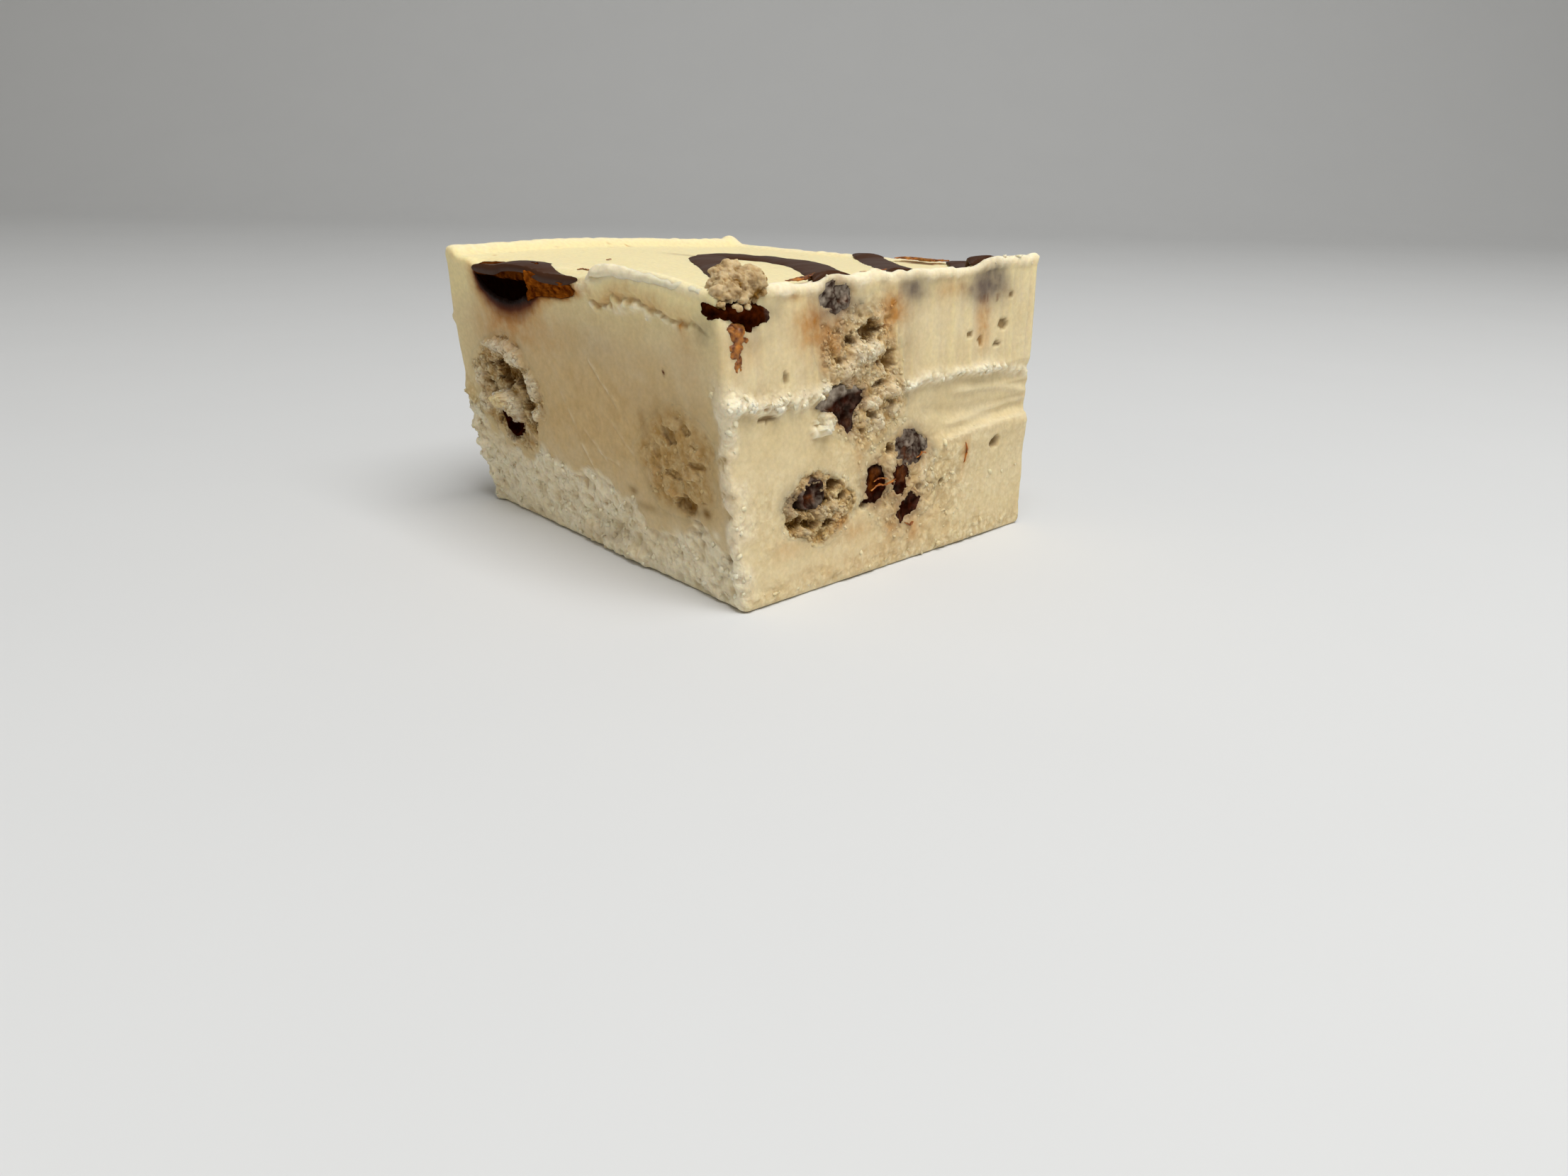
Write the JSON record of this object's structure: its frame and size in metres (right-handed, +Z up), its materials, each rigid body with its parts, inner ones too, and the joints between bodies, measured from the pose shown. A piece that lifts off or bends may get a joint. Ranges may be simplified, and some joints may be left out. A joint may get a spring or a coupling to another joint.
{
  "type": "cookie dough fudge square",
  "caption": "Hand-cut square of pale fudge with lumps of chocolate chip cookie dough in its cut sides and a zigzag chocolate drizzle on top.",
  "frame": {"origin": "middle of the base, at the middle of the part's bounding box seen from above", "axes": "+Z up through the poured top, -Y out of the smooth front cut, +X out of the right cut with the knife lines"},
  "size_m": [0.0588, 0.0568, 0.037],
  "materials": {
    "fudge": "soft waxy pale fudge, smooth and faintly glossy on its poured top, dull and slightly crumbly where it was cut",
    "dough": "dull, crumbly baked-brown cookie dough, greyish where the knife smeared fudge over it",
    "chocolate": "set dark chocolate, softly glossy on the drizzle and dull where it was cut"
  },
  "bodies": {
    "root": {"fudge": "fudge", "dough_front_left": "dough", "dough_front_right": "dough", "dough_right_upper": "dough", "dough_right_lower": "dough", "dough_right_chips": "dough", "dough_back_upper": "dough", "dough_back_lower": "dough", "dough_left_middle": "dough", "dough_corner": "dough"}
  },
  "joints": []
}
